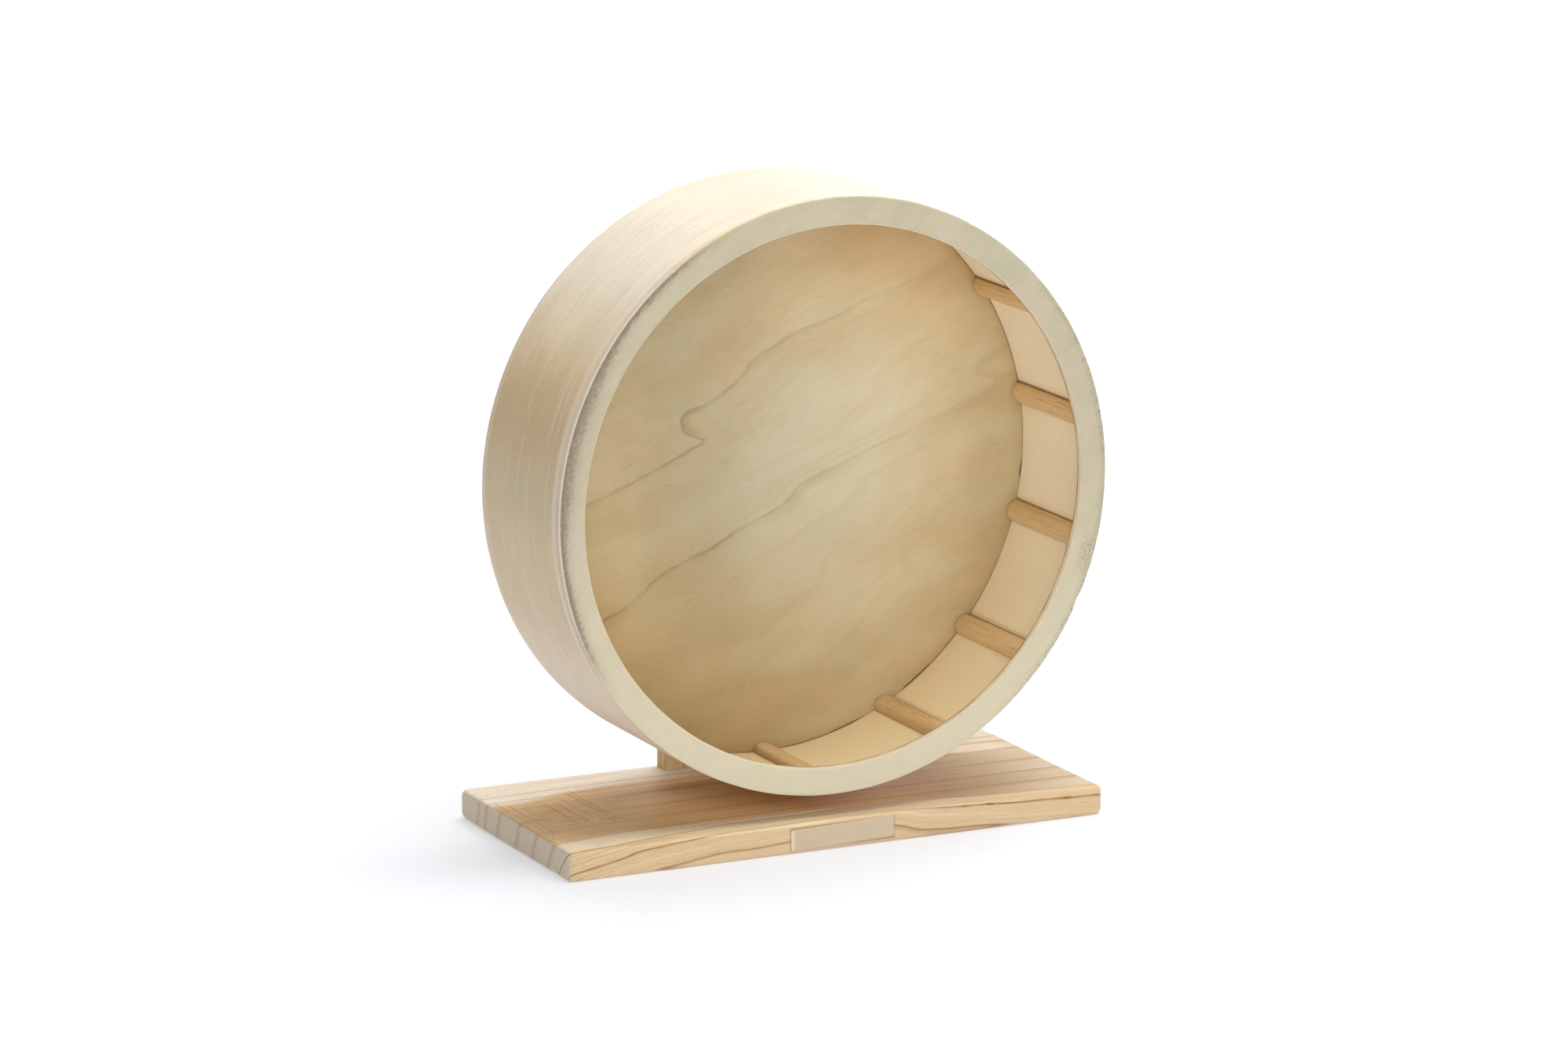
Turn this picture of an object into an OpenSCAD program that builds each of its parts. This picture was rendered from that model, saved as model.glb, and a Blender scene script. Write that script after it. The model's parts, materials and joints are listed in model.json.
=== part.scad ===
// Exercise wheel for small rodents: a plywood drum with wooden rungs that turns on
// two ball bearings, held by a bolt through a post on a flat base board.
// Frame: origin at the centre of the base board's underside, X along the board,
// Y towards the back along the wheel's axis, Z up. All sizes are in millimetres.

/* [Base board] */
// Length of the base board, left to right
base_l = 295; // [270:5:340]
// Depth of the base board, front to back
base_w = 134; // [130:1:170]
// Thickness of the base board
base_t = 15; // [12:0.5:20]
// Radius of the front and end edges
base_edge_r = 1.5; // [0.5:0.5:2]
// Radius of the two back edges
base_back_r = 3.5; // [2:0.5:4.5]

/* [Post] */
// Width of the post board
post_w = 80; // [64:2:96]
// Thickness of the post board
post_t = 10; // [9:1:14]
// Radius of the post's upright edges
post_edge_r = 1; // [0.5:0.5:2]
// Distance between the two post screws
screw_pitch = 50; // [30:2:54]
// Diameter of the post screws
screw_d = 4; // [3:0.5:4.5]
// Length of the post screws
screw_l = 45; // [35:5:60]
// Diameter of a post screw's head
screw_head_d = 7.6; // [7:0.2:8]

/* [Wheel] */
// Outside diameter of the drum
wheel_d = 300; // [270:5:330]
// Height of the drum above the base board
wheel_gap = 11; // [6:1:20]
// Width of the front ring's face
ring_w = 14; // [10:1:20]
// Thickness of the front ring
ring_t = 4; // [3:0.5:6]
// Thickness of the bent running band
band_t = 2; // [1.5:0.5:3]
// Clear running width between the front ring and the back disc
run_w = 79.5; // [60:0.5:95]
// Thickness of the back disc
disc_t = 4; // [3:0.5:6]
// Depth of the back disc's rear face inside the band
disc_inset = 4.5; // [2:0.5:8]
// Gap between the back disc's rim and the band
disc_gap = 0.4; // [0.2:0.1:0.8]
// Width of the band's butt joint
seam_w = 0.4; // [0.2:0.1:1]

/* [Rungs] */
// Number of rungs
rung_count = 15; // [13:1:17]
// Angle of the first rung above the horizontal, on the right
first_rung_angle = 33.7; // [20:0.1:45]
// Diameter of the dowel that the rungs are cut from
rung_d = 12; // [11:0.5:14]
// Height of a rung above the band
rung_h = 5; // [3:0.5:5.5]

/* [Hub] */
// Diameter of the hub block
hub_d = 70; // [50:2:90]
// Chamfer of the hub block's rear edge
hub_chamfer = 2; // [0.5:0.5:3]
// Free room around and in front of the bolt head
head_room = 0.7; // [0.5:0.1:1.4]

/* [Bearings] */
// Bore of a bearing
bearing_bore = 8; // [8:0.1:8.4]
// Outside diameter of a bearing
bearing_d = 22; // [22:0.5:24]
// Width of a bearing
bearing_w = 7; // [7:0.5:9]
// Diameter of a ball
ball_d = 3.97; // [3.8:0.01:4]
// Number of balls in a bearing
ball_count = 7; // [6:1:7]
// Width of the space between the two races
race_space = 2.9; // [2.8:0.1:3]
// Thickness of a bearing shield
shield_t = 0.35; // [0.3:0.05:0.4]

/* [Axle] */
// Size of the bolt head and the nut across flats
hex_af = 13; // [12:0.5:13.5]
// Height of the bolt head
head_h = 5.3; // [4:0.1:6]
// Length of the spacer sleeve between the rear bearing and the post
spacer_l = 4.5; // [3:0.5:12]
// Diameter of the post washers
washer_d = 24; // [16:1:30]
// Thickness of the post washers
washer_t = 2; // [1:0.5:3]
// Height of the nut's hexagon
nut_h = 6.5; // [5:0.5:8]
// Length of bolt that shows behind the nut
bolt_tail = 2; // [1:0.5:6]
// Pitch of the bolt's thread
thread_pitch = 1.25; // [1:0.05:1.5]

/* [Label plate] */
// Length of the blank label plate
label_l = 57; // [30:1:80]
// Height of the blank label plate
label_h = 10.6; // [6:0.2:11]
// Thickness of the blank label plate
label_t = 0.5; // [0.3:0.1:1]
// Distance of the label plate from the middle of the board
label_x = 0.6; // [-20:0.2:20]
// Slant of the label plate
label_tilt = 1.3; // [0:0.1:2]

/* [Clearances] */
// Radial clearance of the bolt in the bearings, sleeve, washers and nut
bolt_clear = 0.05; // [0.02:0.01:0.1]
// Radial clearance of the bolt in the post
post_hole_clear = 0.3; // [0.1:0.05:0.5]
// Radial clearance of the bearings in the hub and of the shields in the races
seat_clear = 0.02; // [0.01:0.01:0.05]
// Clearance of a ball in its grooves and in its hole in the cage
ball_clear = 0.065; // [0.04:0.005:0.08]
// Radial clearance of the screws in the wood
screw_clear = 0.05; // [0.02:0.01:0.2]

/* [Hidden] */
$fn = 96;

// How far single rungs sit off their even places, in degrees, from the first one on
rung_drift = [0, 0, 0, -1, 0, -3.5, -1.5];

// Facets of a ball, and of the round cut that seats a rung in the band
ball_facets = 32;
seat_facets = 192;

// Reach of a cutting shape past the surface that it cuts
past = 1;

// Wheel radii
wheel_r = wheel_d / 2;
band_in_r = wheel_r - band_t;
ring_in_r = wheel_r - ring_w;
disc_r = band_in_r - disc_gap;
ring_edge = 0.5;
axle_z = base_t + wheel_gap + wheel_r;

// Bolt, nut and bearing radii
bolt_r = bearing_bore / 2 - bolt_clear;
hex_r = hex_af / 2 / cos(30);
bearing_r = bearing_d / 2;
pitch_r = (bearing_bore / 2 + bearing_r) / 2;
inner_race_r = pitch_r - race_space / 2;
outer_race_r = pitch_r + race_space / 2;
ball_r = ball_d / 2;
groove_r = ball_r + ball_clear;
shield_seat = 0.45;
shield_recess = 0.15;
shield_gap = 0.25;
cage_t = 0.9;
cage_rim = 0.5;
washer_face_h = 0.4;
face_step = 0.1;
face_r = inner_race_r - face_step;

// Places along the axle, from the back of the post to the front of the wheel
post_back_y = base_w / 2 - base_back_r;
post_front_y = post_back_y - post_t;
spacer_back_y = post_front_y - washer_t;
hub_back_y = spacer_back_y - spacer_l;
rear_bearing_y = hub_back_y - bearing_w;
front_bearing_y = rear_bearing_y - bearing_w;
head_front_y = front_bearing_y - head_h;
disc_back_y = head_front_y - head_room;
disc_front_y = disc_back_y - disc_t;
band_back_y = disc_back_y + disc_inset;
ring_back_y = disc_front_y - run_w;
ring_front_y = ring_back_y - ring_t;
nut_front_y = post_back_y + washer_t;

// Nut collar with its nylon ring
collar_h = 1.8;
collar_step = 0.8;
collar_wall = 0.6;
collar_r = hex_af / 2 - collar_step;
insert_h = 1.3;
insert_r = collar_r - collar_wall;
bolt_back_y = nut_front_y + nut_h + collar_h + bolt_tail;

// Thread and screw details
thread_depth = 0.45;
thread_start_y = post_front_y + post_t / 2;
screw_recess = 0.5;
screw_cone_h = (screw_head_d - screw_d) / 2;
screw_pitch_z = 1.8;
screw_tooth = 0.5;
screw_tip_h = 5;
screw_y = (post_front_y + post_back_y) / 2;
screw_free = 1;
drive_l = 4;
drive_w = 0.9;
drive_h = 1.4;
hub_taper = 30;

// Place of rung i, in degrees above the horizontal
function rung_angle(i) =
    first_rung_angle - i * 360 / rung_count + (i < len(rung_drift) ? rung_drift[i] : 0);

// Name of rung i, with two digits
function rung_name(i) = str("rung_", i < 9 ? "0" : "", i + 1);

// Puts a shape on the wheel's axis, with its own Z pointing to the back
module on_axle(y) {
    translate([0, y, axle_z]) rotate([-90, 0, 0]) children();
}

// Tube along Z
module tube(outer, inner, h) {
    difference() {
        cylinder(r = outer, h = h);
        translate([0, 0, -past]) cylinder(r = inner, h = h + 2 * past);
    }
}

// What a rounded corner takes away from a square one, with the corner at the origin
module corner_waste(r) {
    difference() {
        translate([-past, -past]) square(r + past);
        translate([r, r]) circle(r = r);
    }
}

// Rectangle from the origin, with its own radius at each corner
module rounded_rect(l, h, left_low, right_low, right_high, left_high) {
    difference() {
        square([l, h]);
        corner_waste(left_low);
        translate([l, 0]) mirror([1, 0]) corner_waste(right_low);
        translate([l, h]) rotate(180) corner_waste(right_high);
        translate([0, h]) mirror([0, 1]) corner_waste(left_high);
    }
}

// Places of the two post screws
module at_screws() {
    for (side = [-1, 1]) translate([side * screw_pitch / 2, screw_y, 0]) children();
}

// Countersunk hole for a post screw, from the underside of the board
module screw_hole() {
    hole_r = screw_d / 2 + screw_clear;
    head_r = screw_head_d / 2 + screw_clear;
    translate([0, 0, -past]) cylinder(r = head_r, h = screw_recess + past);
    translate([0, 0, screw_recess]) cylinder(r1 = head_r, r2 = hole_r, h = screw_cone_h);
    translate([0, 0, screw_recess]) cylinder(r = hole_r, h = screw_l + screw_free);
}

// Board with its edges rounded, seen from the end, from above and from the front
module base_board() {
    color("#dcbf95") difference() {
        translate([-base_l / 2, -base_w / 2, 0]) intersection() {
            rotate([90, 0, 90]) linear_extrude(base_l)
                rounded_rect(base_w, base_t, base_edge_r, base_back_r, base_back_r, base_edge_r);
            linear_extrude(base_t)
                rounded_rect(base_l, base_w, base_edge_r, base_edge_r, base_edge_r, base_edge_r);
            translate([0, base_w, 0]) rotate([90, 0, 0]) linear_extrude(base_w)
                rounded_rect(base_l, base_t, base_edge_r, base_edge_r, base_edge_r, base_edge_r);
        }
        at_screws() screw_hole();
    }
}

// Upright board with a round top about the axle
module support_post() {
    rise = axle_z - base_t;
    color("#d2ab72") difference() {
        intersection() {
            translate([0, post_back_y, base_t]) rotate([90, 0, 0]) linear_extrude(post_t) {
                translate([-post_w / 2, 0]) square([post_w, rise]);
                translate([0, rise]) circle(d = post_w);
            }
            translate([-post_w / 2, post_front_y, base_t]) linear_extrude(rise + post_w / 2)
                rounded_rect(post_w, post_t, post_edge_r, post_edge_r, post_edge_r, post_edge_r);
        }
        on_axle(post_front_y - past) cylinder(r = bolt_r + post_hole_clear, h = post_t + 2 * past);
        at_screws() screw_hole();
    }
}

// Two wood screws that hold the post from below, with their threads drawn as rings
module post_screws() {
    crest_r = screw_d / 2;
    root_r = crest_r - screw_tooth;
    top = screw_recess + screw_l;
    thread_low = base_t + screw_pitch_z;
    teeth = floor((top - screw_tip_h - thread_low) / screw_pitch_z);
    thread_top = thread_low + teeth * screw_pitch_z;
    color("#c9c6bd") at_screws() difference() {
        rotate_extrude() polygon(concat(
            [[0, screw_recess], [screw_head_d / 2, screw_recess]],
            [[crest_r, screw_recess + screw_cone_h], [crest_r, thread_low - screw_pitch_z / 2]],
            [for (i = [0:teeth - 1], p = [[root_r, 0], [crest_r, screw_pitch_z / 2]])
                [p[0], thread_low + i * screw_pitch_z + p[1]]],
            [[root_r, thread_top], [0, top]]
        ));
        for (turn = [0, 90]) rotate(turn)
            translate([-drive_l / 2, -drive_w / 2, screw_recess - past])
                cube([drive_l, drive_w, drive_h + past]);
    }
}

// Blank plate on the front edge of the board
module label_plate() {
    color("#e6ddc2") translate([label_x, -base_w / 2 - label_t, base_t / 2])
        rotate([0, -label_tilt, 0]) translate([-label_l / 2, 0, -label_h / 2])
            cube([label_l, label_t, label_h]);
}

// Hexagon with its corners eased at both ends
module eased_hex(h) {
    ease = hex_r - hex_af / 2;
    intersection() {
        cylinder(r = hex_r, h = h, $fn = 6);
        rotate_extrude() polygon([
            [0, 0], [hex_r - ease, 0], [hex_r, ease / 2],
            [hex_r, h - ease / 2], [hex_r - ease, h], [0, h]
        ]);
    }
}

// Bolt with a hexagon head and a washer face, and its thread drawn as rings
module axle_bolt() {
    shank_l = thread_start_y - front_bearing_y;
    bolt_l = bolt_back_y - front_bearing_y;
    root_r = bolt_r - thread_depth;
    teeth = floor((bolt_l - shank_l) / thread_pitch);
    color("#b9bcbf") {
        on_axle(head_front_y) eased_hex(head_h - washer_face_h);
        on_axle(front_bearing_y - washer_face_h) cylinder(r = face_r, h = washer_face_h);
        on_axle(front_bearing_y - washer_face_h / 2) rotate_extrude() polygon(concat(
            [[0, 0], [bolt_r, 0], [bolt_r, washer_face_h / 2 + shank_l]],
            [for (i = [0:teeth - 1], p = [[root_r, thread_pitch / 2], [bolt_r, thread_pitch]])
                [p[0], washer_face_h / 2 + shank_l + i * thread_pitch + p[1]]],
            [[root_r, washer_face_h / 2 + bolt_l], [0, washer_face_h / 2 + bolt_l]]
        ));
    }
}

// Sleeve between the rear bearing's inner race and the front washer
module spacer_sleeve() {
    color("#c4c7c9") on_axle(hub_back_y) tube(face_r, bearing_bore / 2, spacer_l);
}

// One broad washer on each side of the post
module post_washers() {
    color("#c4c7c9") for (y = [post_front_y - washer_t, post_back_y])
        on_axle(y) tube(washer_d / 2, bearing_bore / 2, washer_t);
}

// Nut with a round collar that holds a nylon ring
module lock_nut() {
    full_h = nut_h + collar_h;
    color("#b9bcbf") on_axle(nut_front_y) difference() {
        union() {
            eased_hex(nut_h);
            translate([0, 0, nut_h - past]) cylinder(r = collar_r, h = collar_h + past);
        }
        translate([0, 0, -past]) cylinder(d = bearing_bore, h = full_h + 2 * past);
        translate([0, 0, full_h - insert_h]) cylinder(r = insert_r, h = insert_h + past);
    }
}

// Nylon ring in the nut's collar
module nut_insert() {
    color("#4f74b8") on_axle(nut_front_y + nut_h + collar_h - insert_h)
        tube(insert_r - seat_clear, bearing_bore / 2, insert_h);
}

// Groove that the balls run in, about the middle of a bearing
module ball_groove() {
    translate([0, 0, bearing_w / 2]) rotate_extrude() translate([pitch_r, 0]) circle(r = groove_r);
}

// Inner race of the bearing whose front face is at y
module inner_race(y) {
    color("#d5d8da") on_axle(y) difference() {
        tube(inner_race_r, bearing_bore / 2, bearing_w);
        ball_groove();
    }
}

// Outer race, with a step at each end for its shield
module outer_race(y) {
    seat_r = outer_race_r + shield_seat;
    seat_h = shield_recess + shield_t;
    color("#d5d8da") on_axle(y) difference() {
        tube(bearing_r - seat_clear, outer_race_r, bearing_w);
        ball_groove();
        translate([0, 0, -past]) cylinder(r = seat_r, h = seat_h + past);
        translate([0, 0, bearing_w - seat_h]) cylinder(r = seat_r, h = seat_h + past);
    }
}

// Two thin covers pressed into an outer race
module shields(y) {
    shield_r = outer_race_r + shield_seat - seat_clear;
    color("#9fa4a8") for (z = [shield_recess, bearing_w - shield_recess - shield_t])
        on_axle(y + z) tube(shield_r, inner_race_r + shield_gap, shield_t);
}

// Places of the balls in a bearing
module at_balls() {
    for (i = [0:ball_count - 1]) rotate(i * 360 / ball_count)
        translate([pitch_r, 0, bearing_w / 2]) children();
}

// Ring with a hole drilled through it for each ball
module ball_cage(y) {
    half = ball_r + cage_rim;
    color("#b08d4f") on_axle(y) difference() {
        translate([0, 0, bearing_w / 2 - half])
            tube(pitch_r + cage_t / 2, pitch_r - cage_t / 2, 2 * half);
        at_balls() rotate([0, 90, 0]) cylinder(r = groove_r, h = 2 * cage_t, center = true);
    }
}

// Balls of a bearing
module balls(y) {
    color("#e2e4e6") on_axle(y) at_balls() sphere(r = ball_r, $fn = ball_facets);
}

// Flat ring at the front of the drum, with its rims slightly eased
module front_ring() {
    color("#d3ccb4") on_axle(ring_front_y) rotate_extrude() polygon([
        [ring_in_r + ring_edge, 0], [wheel_r - ring_edge, 0], [wheel_r, ring_edge],
        [wheel_r, ring_t], [ring_in_r, ring_t], [ring_in_r, ring_edge]
    ]);
}

// Bent band, closed by a butt joint under the last rung
module running_band() {
    band_l = band_back_y - ring_back_y;
    color("#ddc7a2") on_axle(ring_back_y) difference() {
        tube(wheel_r, band_in_r, band_l);
        rotate(-rung_angle(rung_count - 1)) translate([band_in_r - past, -seam_w / 2, -past])
            cube([band_t + 2 * past, seam_w, band_l + 2 * past]);
    }
}

// Disc that closes the back of the drum
module back_disc() {
    color("#cdb88c") on_axle(disc_front_y) cylinder(r = disc_r, h = disc_t);
}

// Round block behind the disc, bored for the bolt head and the two bearings
module hub_block() {
    hub_t = hub_back_y - disc_back_y;
    hub_r = hub_d / 2;
    taper_l = hub_chamfer / tan(hub_taper);
    color("#d9b98a") on_axle(disc_back_y) difference() {
        rotate_extrude() polygon([
            [0, 0], [hub_r, 0], [hub_r, hub_t - taper_l], [hub_r - hub_chamfer, hub_t], [0, hub_t]
        ]);
        translate([0, 0, -past]) cylinder(r = hex_r + head_room, h = hub_t + 2 * past);
        translate([0, 0, head_room + head_h]) cylinder(r = bearing_r, h = hub_t);
    }
}

// Dowel with one side cut off, seated on the inside of the band
module rung(i) {
    color("#d0a468") on_axle(ring_back_y) rotate(-rung_angle(i)) intersection() {
        translate([band_in_r + rung_d / 2 - rung_h, 0, 0]) cylinder(d = rung_d, h = run_w);
        cylinder(r = band_in_r, h = run_w, $fn = seat_facets);
    }
}

// Stand
base_board();
support_post();
post_screws();
label_plate();
axle_bolt();
spacer_sleeve();
post_washers();
lock_nut();
nut_insert();

// Bearings
inner_race(front_bearing_y);  // front_bearing_inner_race
inner_race(rear_bearing_y);  // rear_bearing_inner_race
ball_cage(front_bearing_y);  // front_bearing_cage
balls(front_bearing_y);  // front_bearing_balls
ball_cage(rear_bearing_y);  // rear_bearing_cage
balls(rear_bearing_y);  // rear_bearing_balls
outer_race(front_bearing_y);  // front_bearing_outer_race
shields(front_bearing_y);  // front_bearing_shields
outer_race(rear_bearing_y);  // rear_bearing_outer_race
shields(rear_bearing_y);  // rear_bearing_shields

// Wheel
front_ring();
running_band();
back_disc();
hub_block();
for (i = [0:rung_count - 1])
    rung(i);
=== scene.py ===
# Looks of a wooden exercise wheel for rodents: a plywood drum with half-round rungs,
# turning on a bolt in front of a post that stands on a flat pine board.
# Lengths are in millimetres, in the part's own frame, and are turned into metres as a mesh is
# made. The floor's size and the places of the camera and the lights are in metres.
import json
import math

import bmesh
import bpy
import numpy as np
from mathutils import Matrix, Vector


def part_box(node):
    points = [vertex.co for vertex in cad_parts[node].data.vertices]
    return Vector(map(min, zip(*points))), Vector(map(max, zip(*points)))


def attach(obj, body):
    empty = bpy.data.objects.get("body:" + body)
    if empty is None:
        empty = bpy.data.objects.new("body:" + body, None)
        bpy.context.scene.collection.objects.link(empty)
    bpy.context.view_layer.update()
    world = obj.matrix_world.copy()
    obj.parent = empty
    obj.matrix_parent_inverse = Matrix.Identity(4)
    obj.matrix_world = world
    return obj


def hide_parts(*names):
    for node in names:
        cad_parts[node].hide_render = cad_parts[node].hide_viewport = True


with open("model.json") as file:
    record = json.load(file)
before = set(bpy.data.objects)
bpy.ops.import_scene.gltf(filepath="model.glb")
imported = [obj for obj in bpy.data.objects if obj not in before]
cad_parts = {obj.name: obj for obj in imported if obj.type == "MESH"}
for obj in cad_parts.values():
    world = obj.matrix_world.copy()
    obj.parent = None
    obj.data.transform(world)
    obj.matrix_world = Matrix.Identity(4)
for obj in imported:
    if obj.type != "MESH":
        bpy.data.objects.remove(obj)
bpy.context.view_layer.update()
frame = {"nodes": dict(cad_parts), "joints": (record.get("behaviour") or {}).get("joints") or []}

MM = 0.001
STAND = "stand"
WHEEL = "wheel"


# Sizes read from the frame

def span(node, axis):
    """Lowest and highest coordinate of a CAD node along an axis."""
    low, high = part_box(node)
    return low[axis] / MM, high[axis] / MM


def vertices(node):
    """Every vertex of a CAD node."""
    mesh = frame["nodes"][node].data
    points = np.zeros(len(mesh.vertices) * 3)
    mesh.vertices.foreach_get("co", points)
    return points.reshape(-1, 3) / MM


def radii(node):
    """Least and greatest distance of a CAD node's vertices from the wheel's axis."""
    points = vertices(node)
    distance = np.hypot(points[:, 0], points[:, 2] - AXLE_Z)
    return distance.min(), distance.max()


def rung_angle(node):
    """Angle of a rung about the axis, in radians above the right-hand side."""
    points = vertices(node)
    return math.atan2(points[:, 2].mean() - AXLE_Z, points[:, 0].mean())


WHEEL_JOINT = next(j for j in frame["joints"] if j["name"] == "wheel_spin")
AXLE_Z = WHEEL_JOINT["pos_m"][2] / MM
RUNGS = sorted(n for n in frame["nodes"] if n.startswith("rung_"))

RING_IN, RING_OUT = radii("front_ring")
RING_FRONT, RING_BACK = span("front_ring", 1)
BAND_IN, BAND_OUT = radii("running_band")
BAND_BACK = span("running_band", 1)[1]
DISC_FRONT, DISC_BACK = span("back_disc", 1)
RUNG_IN = radii(RUNGS[0])[0]
SEAM_ANGLE = rung_angle(RUNGS[-1])
BASE_X = span("base_board", 0)[1]
BASE_Y = span("base_board", 1)[1]
BASE_TOP = span("base_board", 2)[1]
POST_X = span("support_post", 0)[1]
POST_FRONT, POST_BACK = span("support_post", 1)
SCREW_FRONT, SCREW_BACK = span("post_screws", 1)
SCREW_HEAD = (SCREW_BACK - SCREW_FRONT) / 2
SCREW_X = span("post_screws", 0)[1] - SCREW_HEAD
SCREW_Y = SCREW_BACK - SCREW_HEAD
SCREW_Z = span("post_screws", 2)[0]
LABEL_LEFT, LABEL_RIGHT = span("label_plate", 0)
LABEL_BOTTOM, LABEL_TOP = span("label_plate", 2)
# Middle and half size of the label. Its slant makes its box 0.6 taller than it is, both ways.
LABEL_X, LABEL_HALF_X = (LABEL_LEFT + LABEL_RIGHT) / 2, (LABEL_RIGHT - LABEL_LEFT) / 2
LABEL_Z, LABEL_HALF_Z = (LABEL_BOTTOM + LABEL_TOP) / 2, (LABEL_TOP - LABEL_BOTTOM) / 2 - 0.6


# Shader formulas

def formula(operation, swapped=False):
    """Operator of Num that is made of one node."""
    def use(self, *others):
        values = (*others, self) if swapped else (self, *others)
        return self.shade.math(operation, *values)
    return use


class Num:
    """A number that changes over a surface: a node's output, usable in formulas."""

    def __init__(self, shade, socket):
        self.shade = shade
        self.socket = socket

    __add__ = __radd__ = formula("ADD")
    __mul__ = __rmul__ = formula("MULTIPLY")
    __sub__ = formula("SUBTRACT")
    __rsub__ = formula("SUBTRACT", swapped=True)
    __truediv__ = formula("DIVIDE")
    __abs__ = formula("ABSOLUTE")


def linear(tone):
    """A colour like '#c8b090' as the linear numbers that a shader takes."""
    parts = [int(tone[i:i + 2], 16) / 255 for i in (1, 3, 5)]
    return [c / 12.92 if c <= 0.04045 else ((c + 0.055) / 1.055) ** 2.4 for c in parts] + [1]


class Shade:
    """A material, with one short call for each kind of node."""

    def __init__(self, name):
        self.material = bpy.data.materials.new(name)
        self.material.use_nodes = True
        self.tree = self.material.node_tree
        self.tree.nodes.clear()
        self.shader = self.node("ShaderNodeBsdfPrincipled")
        output = self.node("ShaderNodeOutputMaterial")
        self.tree.links.new(self.shader.outputs[0], output.inputs[0])
        place = self.node("ShaderNodeTexCoord").outputs["Object"]
        self.x, self.y, self.z = (part / MM for part in self.split(place))
        self.up = self.z - AXLE_Z
        self.colour = "#ffffff"

    def node(self, kind, values=(), **settings):
        """New node, with values for its first inputs."""
        made = self.tree.nodes.new(kind)
        for name, value in settings.items():
            setattr(made, name, value)
        for socket, value in zip(made.inputs, values):
            self.put(socket, value)
        return made

    def put(self, socket, value):
        """Links a value that changes over the surface, or sets one that doesn't."""
        if isinstance(value, Num):
            value = value.socket
        if isinstance(value, bpy.types.NodeSocket):
            self.tree.links.new(value, socket)
        else:
            socket.default_value = linear(value) if isinstance(value, str) else value

    def fill(self, node, values):
        """Sets a node's inputs by name."""
        for name, value in values.items():
            self.put(node.inputs[name], value)

    def math(self, operation, *values):
        return Num(self, self.node("ShaderNodeMath", values, operation=operation).outputs[0])

    def split(self, vector):
        made = self.node("ShaderNodeSeparateXYZ", [vector])
        return [Num(self, out) for out in made.outputs]

    def facing(self, axis):
        """How squarely the surface faces along an axis, from -1 to 1, as first made."""
        return self.split(self.node("ShaderNodeTexCoord").outputs["Normal"])[axis]

    def hypot(self, u, v):
        return self.math("SQRT", u * u + v * v)

    def radius(self):
        """Distance from the wheel's axis."""
        return self.hypot(self.x, self.up)

    def angle(self):
        """Angle about the wheel's axis, in degrees above the right-hand side."""
        return self.math("DEGREES", self.math("ARCTAN2", self.up, self.x))

    def around(self):
        """Way round the drum from its butt joint, in millimetres along the band."""
        cos, sin = math.cos(SEAM_ANGLE), math.sin(SEAM_ANGLE)
        ahead = self.x * -cos + self.up * -sin
        aside = self.x * sin + self.up * -cos
        return self.math("ARCTAN2", aside, ahead) * BAND_OUT

    def turned(self, across, up, degrees):
        """Two coordinates turned so that the first runs along a line that climbs so steeply."""
        cos, sin = math.cos(math.radians(degrees)), math.sin(math.radians(degrees))
        return across * cos + up * sin, up * cos - across * sin

    def noise(self, at, size, detail=2, rough=0.5, twist=0):
        """Soft noise about 0.5 whose spots have the given size along each coordinate."""
        joined = self.node("ShaderNodeCombineXYZ")
        for socket, value, length in zip(joined.inputs, at, size):
            self.put(socket, value / length if isinstance(value, Num) else value)
        made = self.node("ShaderNodeTexNoise")
        self.fill(made, {"Vector": joined.outputs[0], "Scale": 1, "Detail": detail,
                         "Roughness": rough, "Distortion": twist})
        return Num(self, made.outputs[0])

    def spots(self, u, v, wide, tall, layer, **kind):
        """Noise in a plane, with spots of a width and height. Each layer has its own."""
        return self.noise((u, v, layer), (wide, tall, 1), **kind)

    def step(self, value, low, high, bottom=0, top=1):
        """Rises softly from bottom to top as value goes from low to high."""
        values = (value, low, high, bottom, top)
        made = self.node("ShaderNodeMapRange", values, interpolation_type="SMOOTHSTEP")
        return Num(self, made.outputs[0])

    def line(self, value, centre, half, soft=0.5):
        """1 on a line, falling to 0 at half its width and a little more."""
        return self.step(abs(value - centre), half * (1 + soft), half * (1 - soft))

    def within(self, value, low, high, soft):
        """1 between low and high, with soft borders."""
        return self.step(value, low - soft, low + soft) * self.step(value, high + soft, high - soft)

    def curve(self, value, points):
        """A smooth curve through points, as a function of value."""
        xs, ys = zip(*points)
        low, wide = min(xs), max(xs) - min(xs)
        bottom, tall = min(ys), max(ys) - min(ys)
        made = self.node("ShaderNodeFloatCurve")
        track = made.mapping.curves[0]
        while len(track.points) < len(points):
            track.points.new(0.5, 0.5)
        for spot, (x, y) in zip(track.points, sorted(points)):
            spot.location = ((x - low) / wide, (y - bottom) / tall)
            spot.handle_type = "AUTO_CLAMPED"
        made.mapping.extend = "EXTRAPOLATED"
        made.mapping.use_clip = False
        made.mapping.update()
        self.put(made.inputs["Value"], (value - low) / wide)
        return Num(self, made.outputs[0]) * tall + bottom

    def mix(self, factor, first, second, blend="MIX"):
        """Second colour over the first, as strongly as factor says."""
        made = self.node("ShaderNodeMix", data_type="RGBA", blend_type=blend, clamp_factor=True)
        self.put(made.inputs[0], factor)
        self.put(made.inputs[6], first)
        self.put(made.inputs[7], second)
        return made.outputs[2]

    def paint(self, factor, tone, blend="MIX"):
        """Lays a tone over the colour so far."""
        self.colour = self.mix(factor, self.colour, tone, blend)

    def tint(self, value, low, high, strength, tone):
        """Lays a tone over the colour that sets in as value goes from low to high."""
        self.paint(self.step(value, low, high) * strength, tone)

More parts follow.
